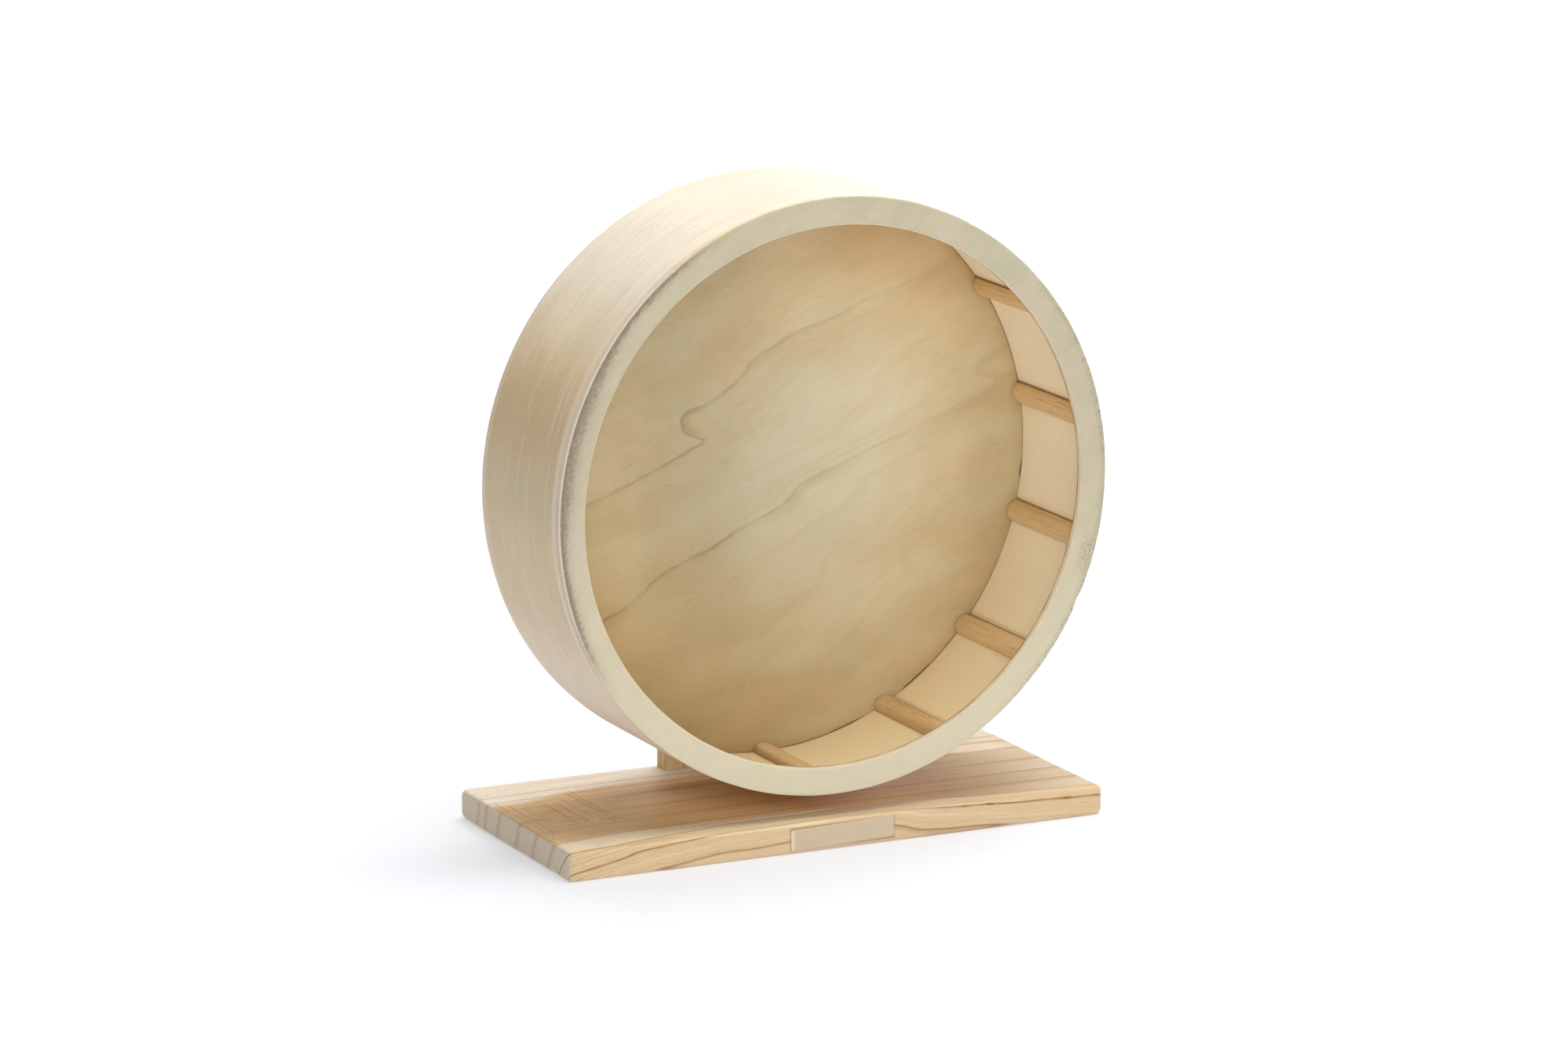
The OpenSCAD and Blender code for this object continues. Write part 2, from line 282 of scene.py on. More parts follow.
    def finish(self, rough, height=None, metal=0, shine=0.3):
        """Sets the shader. Height is in millimetres and gives the fine relief."""
        self.fill(self.shader, {"Base Color": self.colour, "Roughness": rough,
                                "Metallic": metal, "Specular IOR Level": shine})
        if height is not None:
            bump = self.node("ShaderNodeBump")
            self.fill(bump, {"Strength": 1, "Distance": MM, "Height": height})
            self.put(self.shader.inputs["Normal"], bump.outputs[0])
        return self.material


# Grain that every wood shares. Along runs with the grain, across and deep run square to it.

def flecks(s, along, across, deep, length, width, share):
    """Short dashes along the grain. A smaller share leaves fewer of them."""
    grains = s.noise((along, across, deep), (length, width, width), detail=1)
    return s.step(grains, 0.78 - share, 0.84 - share)


def streaks(s, along, across, deep, length, width):
    """Long soft streaks along the grain, about 0.5."""
    return s.noise((along, across, deep), (length, width, width), detail=3, rough=0.6)


# Disc veneer

# Grain lines of the disc's veneer, each from low to high: height above the axle and place
DISC_FIRST_LINE = [
    (-95, -330), (-60, -240), (-11, -96), (-3, -75), (6, -53), (13, -38), (16, -33), (18, -38),
    (22, -44), (27, -45), (31, -42), (34, -32), (41, -19), (49, -10), (54, -6), (61, 7), (67, 20),
    (72, 38), (81, 60), (87, 80), (93, 95), (100, 109), (140, 190),
]
DISC_SECOND_LINE = [
    (-140, -225), (-93, -125), (-71, -88), (-64, -73), (-52, -58), (-45, -43), (-39, -27),
    (-32, -14), (-26, 1), (-19, 14), (-12, 21), (-8, 30), (-4, 41), (5, 65), (10, 80), (16, 96),
    (22, 112), (28, 127), (32, 132), (38, 120), (43, 123), (50, 136), (95, 230), (140, 320),
]
DISC_FLECK_CLIMB = 19
# Pale middle of the disc, partly lighter veneer and partly a painted sheen of light, longer along a
# line that climbs to the right
DISC_PALE_X, DISC_PALE_Z = 26, -4
DISC_PALE_CLIMB = 42
# Painted light and shade across the disc from left to right, and the knot that the first line goes
# round
DISC_PAINTED_LIGHT = [(-148, 1.03), (-100, 1), (-74, 0.9), (-40, 0.78), (0, 0.87), (45, 0.97), (78, 1.05),
             (100, 1.06), (120, 0.98), (148, 0.92)]
KNOT_X, KNOT_Z = -35, 26
KNOT_WIDE, KNOT_TALL = 10.5, 7


def disc_veneer():
    s = Shade("disc_veneer")
    radius = s.radius()
    first = s.curve(s.up, DISC_FIRST_LINE)
    second = s.curve(s.up, DISC_SECOND_LINE)
    flow = (s.x - first) / (second - first)
    along, across = s.turned(s.x, s.up, DISC_FLECK_CLIMB)
    cloud = s.spots(along, across, 60, 26, 3)
    s.colour = s.mix(s.step(cloud, 0.32, 0.68), "#cfba90", "#d8c8a2")
    blush = s.spots(s.x, s.up, 34, 22, 7)
    s.tint(blush, 0.5, 0.7, 0.35, "#ddbf97")
    s.tint(blush, 0.46, 0.3, 0.35, "#cfc79f")
    # Pale middle: partly lighter veneer, partly a painted sheen of light
    near_u, near_v = s.turned(s.x - DISC_PALE_X, s.up - DISC_PALE_Z, DISC_PALE_CLIMB)
    reach = s.math("SQRT", near_u * near_u * 0.42 + near_v * near_v)
    ragged = s.spots(s.x, s.up, 26, 20, 11) - 0.5
    s.tint(reach + ragged * 38, 74, 18, 0.66, "#dbd3b5")
    # Darker towards the rim, a little more below: painted shade in the corner where the disc meets
    # the band
    rim = s.step(radius + ragged * 12, 92, 150)
    low = s.step(s.up, 20, -110)
    s.paint(rim * (0.28 + low * 0.1), "#ddd0ae", "MULTIPLY")
    # Darker in the upper part: painted shade below the top of the ring and band
    painted_shade_high = s.step(s.up, 48, 104) * s.step(s.x, 6, 56)
    s.paint(painted_shade_high * 0.8, "#f1e4d6", "MULTIPLY")
    s.paint(low * s.step(s.x, 60, -60), "#fff6e2", "MULTIPLY")
    # Darker on the left: painted shadow of the band's left side
    painted_shade_left = s.step(s.x + ragged * 30 - s.up * 0.35, 10, -110)
    s.paint(painted_shade_left * 0.3, "#d8d2ba", "MULTIPLY")
    # Painted light and shade across the disc, from left to right
    s.paint(1, s.curve(s.x + ragged * 16, DISC_PAINTED_LIGHT), "MULTIPLY")
    s.tint(s.spots(flow, along, 0.07, 260, 0.5), 0.5, 0.72, 0.13, "#b89c6c")
    fine = streaks(s, along, across, s.y, 14, 0.8)
    s.tint(fine, 0.52, 0.74, 0.16, "#a98d5e")
    patch = s.step(s.spots(s.x, s.up, 24, 17, 5), 0.46, 0.62)
    hairs = flecks(s, along, across, s.y + 40, 4.2, 0.42, 0.2) * patch
    s.paint(hairs * 0.15, "#e9dfc0")
    dashes = flecks(s, along, across, s.y, 3.4, 0.38, 0.17) * (0.45 + patch * 0.55)
    s.paint(dashes * s.step(s.x, 60, -70, 0.1, 0.22), "#8f7647")
    marks = 0
    for path, height in ((first, DISC_FIRST_LINE), (second, DISC_SECOND_LINE)):
        slope = s.curve(s.up + 1, height) - path
        away = (s.x - path) / s.math("SQRT", slope * slope + 1)
        shaky = away + (s.spots(along, across, 7, 2.2, 1.5) - 0.5) * 1.8
        strong = s.step(s.spots(along, 0, 24, 1, 4), 0.34, 0.64, 0.35, 1)
        strong = strong * s.step(s.x, 118, -40, 0.15, 1)
        soft = s.step(s.spots(along, 0, 50, 1, 9), 0.35, 0.65)
        s.paint(s.within(away, 0, 5, 2.6) * soft * 0.22, "#a18a5c")
        s.paint(s.line(shaky, 0.3, 1.1, 0.8) * strong * 0.3, "#8b7449")
        marks = s.line(shaky, 0, 0.34, 1.6) * strong + marks
    s.paint(marks * 0.36, "#80623a")
    knot_x, knot_z = (s.x - KNOT_X) / KNOT_WIDE, (s.up - KNOT_Z) / KNOT_TALL
    knot = s.hypot(knot_x, knot_z) + (cloud - 0.5) * 0.5
    s.paint(s.line(knot, 0.82, 0.2, 0.9) * s.step(s.x, -28, -42) * 0.3, "#8f784c")
    s.tint(knot, 0.95, 0.1, 0.26, "#cfab84")
    # Darker brown on the disc's edge inside the band: painted shade in the gap round the disc
    painted_gap_shade = s.step(s.y, DISC_FRONT + 0.2, DISC_FRONT + 0.6)
    painted_gap_shade = painted_gap_shade * s.step(radius, BAND_IN - 3, BAND_IN - 2)
    s.paint(painted_gap_shade * s.step(s.y, DISC_BACK, DISC_BACK - 1), "#a67c4c")
    height = fine * 0.04 + hairs * 0.03 - dashes * 0.04
    return s.finish(0.56 + fine * 0.14, height, shine=0.4)


# Ring: plain pale plywood, with torn fibres along the rim on the upper left

RING_VEIN_CLIMB = 40
# Torn fibres along the rim: how steeply they climb, and the angles between which they lie
RIM_TEAR_CLIMB = 50
RIM_TEAR_FROM = 122
RIM_TEAR_TO = 206


def ring_veneer():
    s = Shade("ring_veneer")
    radius, angle = s.radius(), s.angle()
    turn = s.math("WRAP", angle, 360, 0)
    along, across = s.turned(s.x, s.up, RING_VEIN_CLIMB)
    mottle = s.spots(along, across, 30, 13, 2, detail=3)
    s.colour = s.mix(s.step(mottle, 0.36, 0.64), "#b7b094", "#c1b499")
    # Lighter towards the bottom: painted light from the floor below
    s.tint(s.up, 40, -140, 0.8, "#dbd0b2")
    fine = streaks(s, along, across, s.y, 16, 0.9)
    s.tint(fine, 0.52, 0.72, 0.1, "#ada180")
    s.tint(fine, 0.46, 0.3, 0.08, "#e6dfca")
    s.tint(s.spots(along, across, 44, 2.6, 5, twist=0.8), 0.64, 0.76, 0.12, "#a3977a")
    dashes = flecks(s, along, across, s.y, 2.4, 0.34, 0.17)
    s.paint(dashes * 0.1, "#93876a")
    blush = s.spots(s.x, s.up, 16, 12, 4)
    s.tint(blush, 0.52, 0.68, 0.22, "#cbbfb0")
    s.tint(blush, 0.46, 0.32, 0.14, "#c0c09a")
    tear_u, tear_v = s.turned(s.x, s.up, RIM_TEAR_CLIMB)
    ragged = s.spots(tear_u, tear_v, 5, 0.9, 9) - 0.5
    depth = RING_OUT - radius + ragged * 4
    wide = s.step(s.line(turn, 163, 16, 0.6), 0, 1, 6, 10.4)
    upper = s.within(turn, RIM_TEAR_FROM, RIM_TEAR_TO, 14)
    fade = s.step(depth / wide, 1, 0.12) * upper
    hatch = s.noise((tear_u, tear_v, s.y), (2.8, 0.32, 0.32))
    hatch = s.step(hatch + fade * 0.16, 0.52, 0.7) * s.math("MINIMUM", fade * 1.7, 1)
    s.paint(s.step(depth / wide, 1.5, 0.3) * upper * 0.42, "#ab9b89")
    s.paint(fade * 0.34, "#93836f")
    s.paint(hatch * 0.58, "#74644f")
    s.paint(s.within(depth, 1, 2.6, 0.9) * upper * 0.3, "#6f5f4c")
    right = s.within(turn, 312, 361, 10) + s.within(turn, -1, 40, 8)
    worn = s.step(depth, 4.6, 0.4) * (right * 0.85 + 0.15)
    smudge = s.line(turn, 343.5, 3.4, 0.8) * s.within(depth, 0, 8.5, 1.8)
    scuffs = s.noise((tear_u, tear_v, s.y + 8), (1.8, 0.32, 0.32))
    scuffs = s.step(scuffs, 0.46, 0.64) * s.math("MINIMUM", worn + smudge * 0.8, 1)
    s.paint(scuffs * 0.75, "#7b705f")
    fleck = s.line(turn, 115, 1, 0.6) * s.step(depth, 2.6, 1.6)
    s.paint(fleck * 0.7, "#b9b36a")
    edge = s.step(radius, RING_OUT - 1.2, RING_OUT - 0.7)
    s.paint(edge * (upper * 0.75 + 0.1), "#e3d6bf")
    rim = s.step(s.y, RING_FRONT + 0.35, RING_FRONT + 0.9)
    plies = s.line(s.math("PINGPONG", s.y - RING_FRONT, 1.33), 0, 0.12, 0.8)
    wood = s.mix(s.spots(angle, s.y, 3, 40, 3), "#d8c5ac", "#e3d2ba")
    s.paint(rim, s.mix(plies * 0.22, wood, "#ad9674"))
    # Pale line along the inner edge of the front: painted highlight
    s.paint(s.step(radius, RING_IN + 0.5, RING_IN + 0.1) * 0.4, "#efe2c6")
    # Dark broken line on the inner face at the ring's back edge: painted shade where the ring stands
    # in from the band
    shade_wander = s.spots(angle, 0, 9, 1, 5, detail=1)
    painted_lip_shade = s.step(s.y + s.step(shade_wander, 0.3, 0.7, 0, 0.8), RING_BACK - 0.7, RING_BACK - 0.2)
    painted_lip_shade = painted_lip_shade * s.step(radius, RING_IN + 0.9, RING_IN + 0.4)
    s.paint(painted_lip_shade * 0.75, "#7c5a42")
    height = fine * 0.04 - dashes * 0.02 - hatch * 0.12 - scuffs * 0.08
    return s.finish(0.58 + fine * 0.14, height, shine=0.4)


# Band: a thin bent veneer with its grain along the axle

# Angle from a rung's middle to its upper edge, in degrees
RUNG_EDGE = 2.45
# Scrapes round the band: place along the axle, half width, and where each starts and ends
BAND_SCRAPES = ((-10.5, 0.45, 120, 176), (-44.5, 0.5, 148, 170), (-38.5, 0.35, 140, 163))


def band_veneer():
    s = Shade("band_veneer")
    radius, angle = s.radius(), s.angle()
    turn = s.math("WRAP", angle, 360, 0)
    length = s.around()
    cloud = s.spots(length, s.y, 46, 26, 1, detail=3)
    s.colour = s.mix(s.step(cloud, 0.34, 0.66), "#d9c29b", "#e4cfac")
    # Painted light and shade round the outside: darker on the left side, lighter on the lower left
    # where the floor's light falls, and a whiter painted sheen on top
    s.paint(s.within(turn, 186, 262, 14) * 0.6, "#e1d2c0")
    s.paint(s.within(turn, 219, 252, 7) * 0.45, "#f0e4d6")
    s.paint(s.within(turn, 151, 208, 9) * 0.55, "#c9ad80")
    s.paint(s.line(turn, 165, 8, 0.9) * 0.42, "#b7986c")
    s.paint(s.within(turn, 68, 141, 13) * 0.75, "#e2dacb")
    s.paint(s.within(turn, 56, 106, 9), "#f5f0f1", "MULTIPLY")
    brushed = s.spots(length, s.y, 60, 2.6, 6, detail=3, rough=0.6)
    s.tint(brushed, 0.48, 0.72, 0.26, "#b9a486")
    s.tint(brushed, 0.48, 0.28, 0.24, "#efe2cc")
    wavy = length + s.math("SINE", s.y / 3.1 + length / 7) * 0.8
    ripple = s.noise((s.y, wavy, radius), (7, 0.8, 0.8), detail=3, rough=0.6)
    s.tint(ripple, 0.52, 0.72, 0.1, "#a98f6a")
    s.tint(ripple, 0.48, 0.3, 0.08, "#f0e0c4")
    dashes = flecks(s, s.y, length, radius, 2.6, 0.36, 0.16)
    s.paint(dashes * 0.16, "#92774f")
    green = s.line(turn, 177, 5, 0.9) * s.spots(length, s.y, 6, 24, 3)
    s.paint(green * 0.9, "#c0b696")
    scrapes = 0
    wander = (s.spots(length, 0, 30, 1, 8, detail=1) - 0.5) * 5
    for y, half, start, end in BAND_SCRAPES:
        broken = s.step(s.spots(length, y, 5, 1, 2, detail=3), 0.4, 0.56)
        ragged = (s.spots(length, s.y, 0.8, 0.8, y) - 0.5) * 1.6
        here = s.line(s.y + wander + ragged, y, half, 1)
        scrapes = here * broken * s.within(turn, start, end, 8) + scrapes
    outside = s.step(radius, BAND_IN + 0.8, BAND_IN + 1.4)
    scrapes = scrapes * outside
    s.paint(scrapes * 0.4, "#f2e6cf")
    s.paint(s.step(s.y, RING_BACK + 5.6, RING_BACK + 3.2) * 0.62, "#e4d3bc")
    s.paint(s.step(s.y, BAND_BACK - 5.6, BAND_BACK - 3.6) * 0.5, "#e2d3bd")
    veneer = s.colour
    s.colour = s.mix(s.spots(length, s.y, 60, 40, 4), "#fbeac9", "#fef2d8")
    s.tint(s.up, -20, -140, 0.8, "#f9e3b4")
    s.tint(brushed, 0.5, 0.74, 0.12, "#e3c79a")
    s.tint(ripple, 0.54, 0.74, 0.1, "#d9ba8b")
    s.paint(dashes * 0.08, "#b08d5a")
    # Beside each rung's upper edge: a dark line, partly a glue line and partly painted shade where
    # the rung meets the band; a second glue line on the lower rungs; and a wider soft painted shade
    nearest = 180
    for node in RUNGS:
        past = s.math("WRAP", angle - (math.degrees(rung_angle(node)) + RUNG_EDGE), 180, -180)
        nearest = s.math("MINIMUM", abs(past), nearest)
    s.tint(nearest, 0.26, 0.1, 0.72, "#8a5d30")
    glue = s.line(nearest, 0.52, 0.07, 0.9) * s.step(s.up, -40, -100)
    s.paint(glue * 0.5, "#a5794a")
    s.tint(nearest, 1.6, 0.1, 0.16, "#c19a66")
    # Darker brown where the band holds the disc: painted shade in the gap round the disc
    corner = s.step(s.y, DISC_FRONT - 0.3, DISC_FRONT + 0.4)
    s.paint(corner * s.step(s.y, DISC_BACK + 0.2, DISC_BACK - 0.4), "#a67c4c")
    s.colour = s.mix(outside, s.colour, veneer)
    end = s.step(s.y, BAND_BACK - 0.9, BAND_BACK - 0.6)
    plies = s.line(s.math("PINGPONG", radius - BAND_IN, 0.67), 0, 0.09, 0.7)
    s.paint(end, s.mix(plies * 0.5, "#ddc9a4", "#8f7348"))
    height = ripple * 0.035 + brushed * 0.05 - dashes * 0.02 + scrapes * 0.05
    return s.finish(0.46 + ripple * 0.14, height, shine=0.5)


# Rungs: pine dowel split lengthwise

def rung_pine():
    s = Shade("rung_pine")
    radius = s.radius()
    length = s.around()
    cloud = s.noise((length, s.y, radius), (30, 50, 20), detail=1)
    s.colour = s.mix(s.step(cloud, 0.35, 0.65), "#ddb67d", "#e6c490")
    grain = s.noise((s.y, length, radius), (60, 0.9, 0.9), detail=3, rough=0.6)
    s.tint(grain, 0.52, 0.68, 0.38, "#b8874f")
    s.tint(grain, 0.48, 0.32, 0.34, "#edcf9f")
    cracks = s.noise((s.y, length, radius), (17, 0.6, 0.6), detail=1)
    cracks = s.step(cracks, 0.7, 0.75)
    s.paint(cracks * 0.72, "#7a4f26")
    pores = flecks(s, s.y, length, radius, 1.8, 0.3, 0.17)
    s.paint(pores * 0.22, "#8a5f32")
    # How far the surface faces anticlockwise round the wheel. The side facing clockwise is painted
    # lighter: painted light.
    upper = (s.x * s.facing(2) - s.up * s.facing(0)) / radius
    s.tint(upper, 0.2, -0.9, 0.45, "#ecd2a8")
    # Dark at the foot where the rung meets the band, most on the upper side: partly a glue line,
    # partly painted shade
    foot = s.step(radius, BAND_IN - 1.3, BAND_IN - 0.5) * s.step(upper, -0.3, 0.5, 0.3, 1)
    s.paint(foot * 0.85, "#754a1e")
    # Lowest rungs darker on the side facing left: painted shade
    painted_shade_facing_left = s.step(s.facing(0), -0.5, -0.95) * s.step(s.up, -124, -142)
    s.paint(painted_shade_facing_left * 0.6, "#8f6a41")
    # Dark at the end against the disc: painted shade where the rung meets the disc
    tips = s.step(s.y, DISC_FRONT - 0.7, DISC_FRONT - 0.25)
    s.paint(tips * 0.75, "#7c5326")
    height = grain * 0.18 - cracks * 0.24 - pores * 0.06
    return s.finish(0.52 + grain * 0.16, height, shine=0.4)


# Pine board, sawn near the heart: growth rings lie about a heart line by the front edge

# Height of the heart along the board, which lies HEART_Y from the middle
HEART_Y = -90
HEART_Z = [(-148, -20.3), (-138, -18.2), (-129, -16.4), (-119, -14.5), (-110, -12.4),
           (-91, -10.7), (-78, -9.3), (-60, -7.2), (-44, -6.5), (-25, -5.5), (-5, -3.5),
           (12, -2.5), (31, -4.8), (44, -8.2), (57, -9.6), (84, -11.2), (120, -12.8), (148, -13.7)]
# Radius of the thin ring through the front left corner, along the board, which borders
# yellow wood, and of the heartwood's front border
CORNER_RING = [(-148, 41.9), (-129, 40.9), (-114, 40.2), (-93, 41.6), (-70, 42.4), (-48, 44.6),
               (-24, 43.9), (20, 44.8), (54, 44.4), (82, 41.3), (112, 40.2), (148, 39.2)]
HEART_BORDER = [(-148, 55), (-114, 55), (-87, 53), (-65, 50.6), (-48, 49.4), (-20, 48.4),
                (20, 45.6), (54, 44.6), (82, 41.5), (112, 40.4), (148, 39.4)]
# Strength of the heartwood's colour along the board, and where it is reddest
HEARTWOOD = [(-148, 0.88), (-110, 0.97), (-60, 1), (60, 1), (84, 0.92), (104, 0.74), (122, 0.5),
             (148, 0.3)]
# Painted light and shade along the board's top: lighter at the left and under the wheel, darker at
# the right
BOARD_PAINTED_LIGHT = [(-148, 1.1), (-80, 1.16), (-20, 1.25), (30, 1.15), (60, 0.93), (84, 0.84), (104, 0.82),
              (148, 0.88)]
# Pale patch on the right of the board's top: its middle, and half its size
PALE_X, PALE_Y = 123, 27
PALE_WIDE, PALE_DEEP = 21, 9
# The two rings whose lines run along the board's front
THIN_RING = 26.3
BOLD_RING = 33.1
# Late wood: outer radius of each ring, and how far it reaches inwards
LATE_WOOD = ((THIN_RING, 1.1), (BOLD_RING, 1.7), (55.3, 5), (72.3, 5.5), (92, 6), (113.9, 6),
             (128.7, 4.5), (137.9, 4))


def board_pine():
    s = Shade("board_pine")
    heart_z = s.curve(s.x, HEART_Z)
    wave = (s.noise((s.x, s.y, s.z), (60, 16, 12)) - 0.5) * 2.4
    over, out = s.z - heart_z, s.y - HEART_Y
    true_ring = s.hypot(over, out)
    ring = true_ring + wave
    ends = s.step(abs(s.facing(0)), 0.55, 0.85)
    front = s.step(s.facing(1), -0.35, -0.75)
    cloud = s.noise((s.x, s.y, s.z), (90, 14, 14))
    s.colour = s.mix(s.step(cloud, 0.34, 0.66), "#e0cfb6", "#e8dccb")
    inside = s.step(true_ring + wave * 0.2 - s.curve(s.x, CORNER_RING), 0.5, -0.5)
    soft = s.step(s.x, -60, -90, 0.8, 5)
    behind = (true_ring + wave * 0.3 - s.curve(s.x, HEART_BORDER)) / soft
    back_border = s.step(s.x, -136, -92, 122, 131)
    heartwood = s.step(behind, -0.8, 0.8) * s.step(ring - back_border, 4.5, -4.5)
    heart = s.mix(s.within(s.x, -78, 50, 24), "#c4974b", "#e6c08a")
    heart = s.mix(s.within(s.x, -14, 78, 14) * 0.8, heart, "#d89c50")
    s.paint(heartwood * s.curve(s.x, HEARTWOOD) * 0.88, heart)
    on_top = s.step(s.facing(2), 0.35, 0.75)
    # Painted light and shade along the top
    s.paint(on_top, s.curve(s.x, BOARD_PAINTED_LIGHT), "MULTIPLY")
    # Darker and redder under the wheel, near the post: painted shadow of the wheel
    painted_wheel_shadow = s.within(s.x, -92, -36, 14) * s.within(s.y, 14, 40, 8) * on_top
    s.paint(painted_wheel_shadow * 0.42, "#a5703c")
    pale_x, pale_y = (s.x - PALE_X) / PALE_WIDE, (s.y - PALE_Y) / PALE_DEEP
    pale = s.step(s.hypot(pale_x, pale_y) + (cloud - 0.5) * 1.2, 1.2, 0.4)
    s.paint(pale * 0.6, "#ecdcc8")
    cream = s.mix(s.within(s.x, -92, -6, 20) * on_top, "#d9b988", "#ecd4aa")
    s.paint(s.math("MAXIMUM", front, inside) * 0.78, cream)
    warm = s.step(s.x, -48, -90) * s.step(s.y, 20, -8) * on_top
    s.paint(warm * 0.8, "#fffae8", "MULTIPLY")
    late = 0
    for outer, reach in LATE_WOOD:
        rising = s.step(ring, outer - reach, outer)
        late = rising * rising * s.step(ring, outer + 0.5, outer) + late
    late_look = s.step(s.x, 20, 90, 0.34, 0.55) * (1 - front * 0.4)
    s.paint(late * late_look, "#9f7246")
    thin = s.spots(s.x, ring, 120, 0.9, 1)
    s.tint(thin, 0.52, 0.7, 0.28, "#ab8456")
    s.tint(thin, 0.46, 0.3, 0.26, "#f4e8d4")
    dashes = flecks(s, s.x, s.y, s.z, 4, 0.32, 0.17)
    s.paint(dashes * (0.26 - front * 0.14), "#96703f")
    heavy = s.spots(s.x, 1, 11, 1, 1, detail=1)
    bold = s.line(ring, BOLD_RING, 0.28, 1.2) * s.step(heavy, 0.3, 0.6, 0.6, 1)
    bold = s.line(ring, THIN_RING, 0.22, 1.2) * 0.8 + bold
    s.paint(bold * front * 0.85, "#966528")
    spots = s.line(ring, BOLD_RING, 0.42, 1) * s.step(heavy, 0.56, 0.66) * front
    s.paint(spots * 0.55, "#6f4818")
    s.paint(bold * (1 - front) * 0.5, "#a97c48")
    corner = s.line(true_ring + wave * 0.2, s.curve(s.x, CORNER_RING), 0.3, 0.9)
    s.paint(corner * 0.75, "#a0641c")
    grain = s.noise((s.x, s.y, s.z), (2, 0.7, 0.7), detail=3)
    grey = s.mix(s.step(grain, 0.3, 0.7), "#d5c3ab", "#e1d0b9")
    grey = s.mix(s.math("POWER", late, 0.5) * 0.4, grey, "#9c8668")
    grey = s.mix(corner * 0.85, grey, "#6a5238")
    specks = s.step(s.noise((s.x, s.y, s.z), (0.55, 0.55, 0.55), detail=0), 0.66, 0.74)
    specks = specks * s.step(s.y, -10, 44, 0.1, 1)
    grey = s.mix(specks * 0.4, grey, "#94714a")
    # Dark line round the label on the front: painted shade at the card's edges
    beside = s.math("MAXIMUM", abs(s.x - LABEL_X) - LABEL_HALF_X, abs(s.z - LABEL_Z) - LABEL_HALF_Z)
    s.paint(s.step(beside, 0.9, -0.1) * front * 0.55, "#7d5c36")
    s.paint(ends, grey)
    sawn, marks = saw_marks(s)
    s.paint(sawn * 0.5, "#e4b76a")
    s.paint(marks * 0.8, "#a8741f")
    height = thin * 0.06 - dashes * 0.05
    return s.finish(0.5 + thin * 0.16, height, shine=0.3)


# Scratches across the board: place along it, half width, and where each starts and ends
SAW_LINES = ((-144.2, 0.25, -12, 30), (-142.4, 0.4, -30, 33), (-140.1, 0.28, -34, 20),
             (-138.4, 0.45, -30, 27), (-136.3, 0.3, -33, 10), (-134, 0.3, -22, 20),
             (-131.4, 0.25, -10, 24), (-102.4, 0.5, -22, 36), (-99.4, 0.42, -18, 38),
             (-109.5, 0.35, -12, 30), (-115, 0.3, -22, 16), (-121, 0.3, -16, 22))


def saw_marks(s):
    """Crossed saw scratches on the top, near the left end."""
    top = s.step(s.facing(2), 0.6, 0.9)
    rough = s.spots(s.x, s.y, 9, 9, 1) - 0.5
    patch = s.within(s.x + rough * 26, -131, -90, 4)
    patch = patch * s.within(s.y + rough * 26, -20, 22, 5)
    strokes = s.spots(s.x, s.y + rough * 2, 22, 0.62, 3, detail=1)
    crossing = s.spots(s.x, s.y, 0.6, 26, 6, detail=1)
    marks = patch * (s.step(strokes, 0.5, 0.62) * 0.7 + s.step(crossing, 0.57, 0.66) * 0.7)
    for x, half, start, end in SAW_LINES:
        bend = s.x + s.y * s.y * 0.0006 + (s.spots(s.x, s.y, 4, 9, x) - 0.5) * 0.6
        broken = s.step(s.spots(s.y, x, 6, 1, 1), 0.3, 0.5, 0.4, 1)
        marks = s.line(bend, x, half, 0.7) * broken * s.within(s.y, start, end, 4) + marks
    return patch * top, s.math("MINIMUM", marks * top, 1)


def post_pine():
    s = Shade("post_pine")
    s.colour = s.mix(s.noise((s.x, s.y, s.z), (18, 18, 120)), "#efcf9c", "#f5dbb0")
    arch = s.x + s.math("SINE", s.z / 46) * 3
    rings = s.noise((arch, s.y, s.z), (3.4, 6, 420))
    s.tint(rings, 0.52, 0.68, 0.5, "#a6783f")
    fine = streaks(s, s.z, s.x, s.y, 50, 0.9)
    s.tint(fine, 0.52, 0.74, 0.25, "#8f6a3c")
    dashes = flecks(s, s.z, s.x, s.y, 5, 0.35, 0.14)
    s.paint(dashes * 0.3, "#7a5528")
    height = rings * 0.08 + fine * 0.04 - dashes * 0.05
    return s.finish(0.62 + fine * 0.12, height)


def hub_wood():
    """Turned block with its grain across the wheel, and rings from the lathe on its side."""
    s = Shade("hub_wood")
    s.colour = s.mix(s.noise((s.x, s.y, s.up), (90, 14, 22)), "#cba873", "#dbbd8b")
    rings = s.noise((s.x, s.y, s.up), (160, 3, 2.6))
    s.tint(rings, 0.53, 0.68, 0.5, "#a87c46")
    dashes = flecks(s, s.x, s.up, s.y, 4, 0.35, 0.14)
    s.paint(dashes * 0.3, "#7f5a30")
    turned = s.spots(s.y, s.radius(), 0.5, 0.6, 1, detail=1)
    height = rings * 0.06 - dashes * 0.05 + turned * 0.05
    return s.finish(0.55 + rings * 0.15, height)


# Card, metal and nylon

def label_card():
    s = Shade("label_card")
    fibres = s.noise((s.x, s.y, s.z), (1.8, 0.4, 0.5))
    cloud = s.noise((s.x, s.y, s.z), (14, 4, 4), detail=1)
    s.colour = s.mix(cloud, "#c8b496", "#d3c1a4")
    s.tint(fibres, 0.55, 0.75, 0.25, "#b5a083")
    # Pale sides and a pale strip along the left end: painted highlight on the card's edges
    border = s.step(s.x, LABEL_LEFT + 2.2, LABEL_LEFT + 1.4) * 0.55
    side = s.step(s.facing(1), -0.9, -0.7)
    s.paint(s.math("MAXIMUM", border, side), "#ece0c6")
    return s.finish(0.42 + fibres * 0.12, fibres * 0.03, shine=0.4)


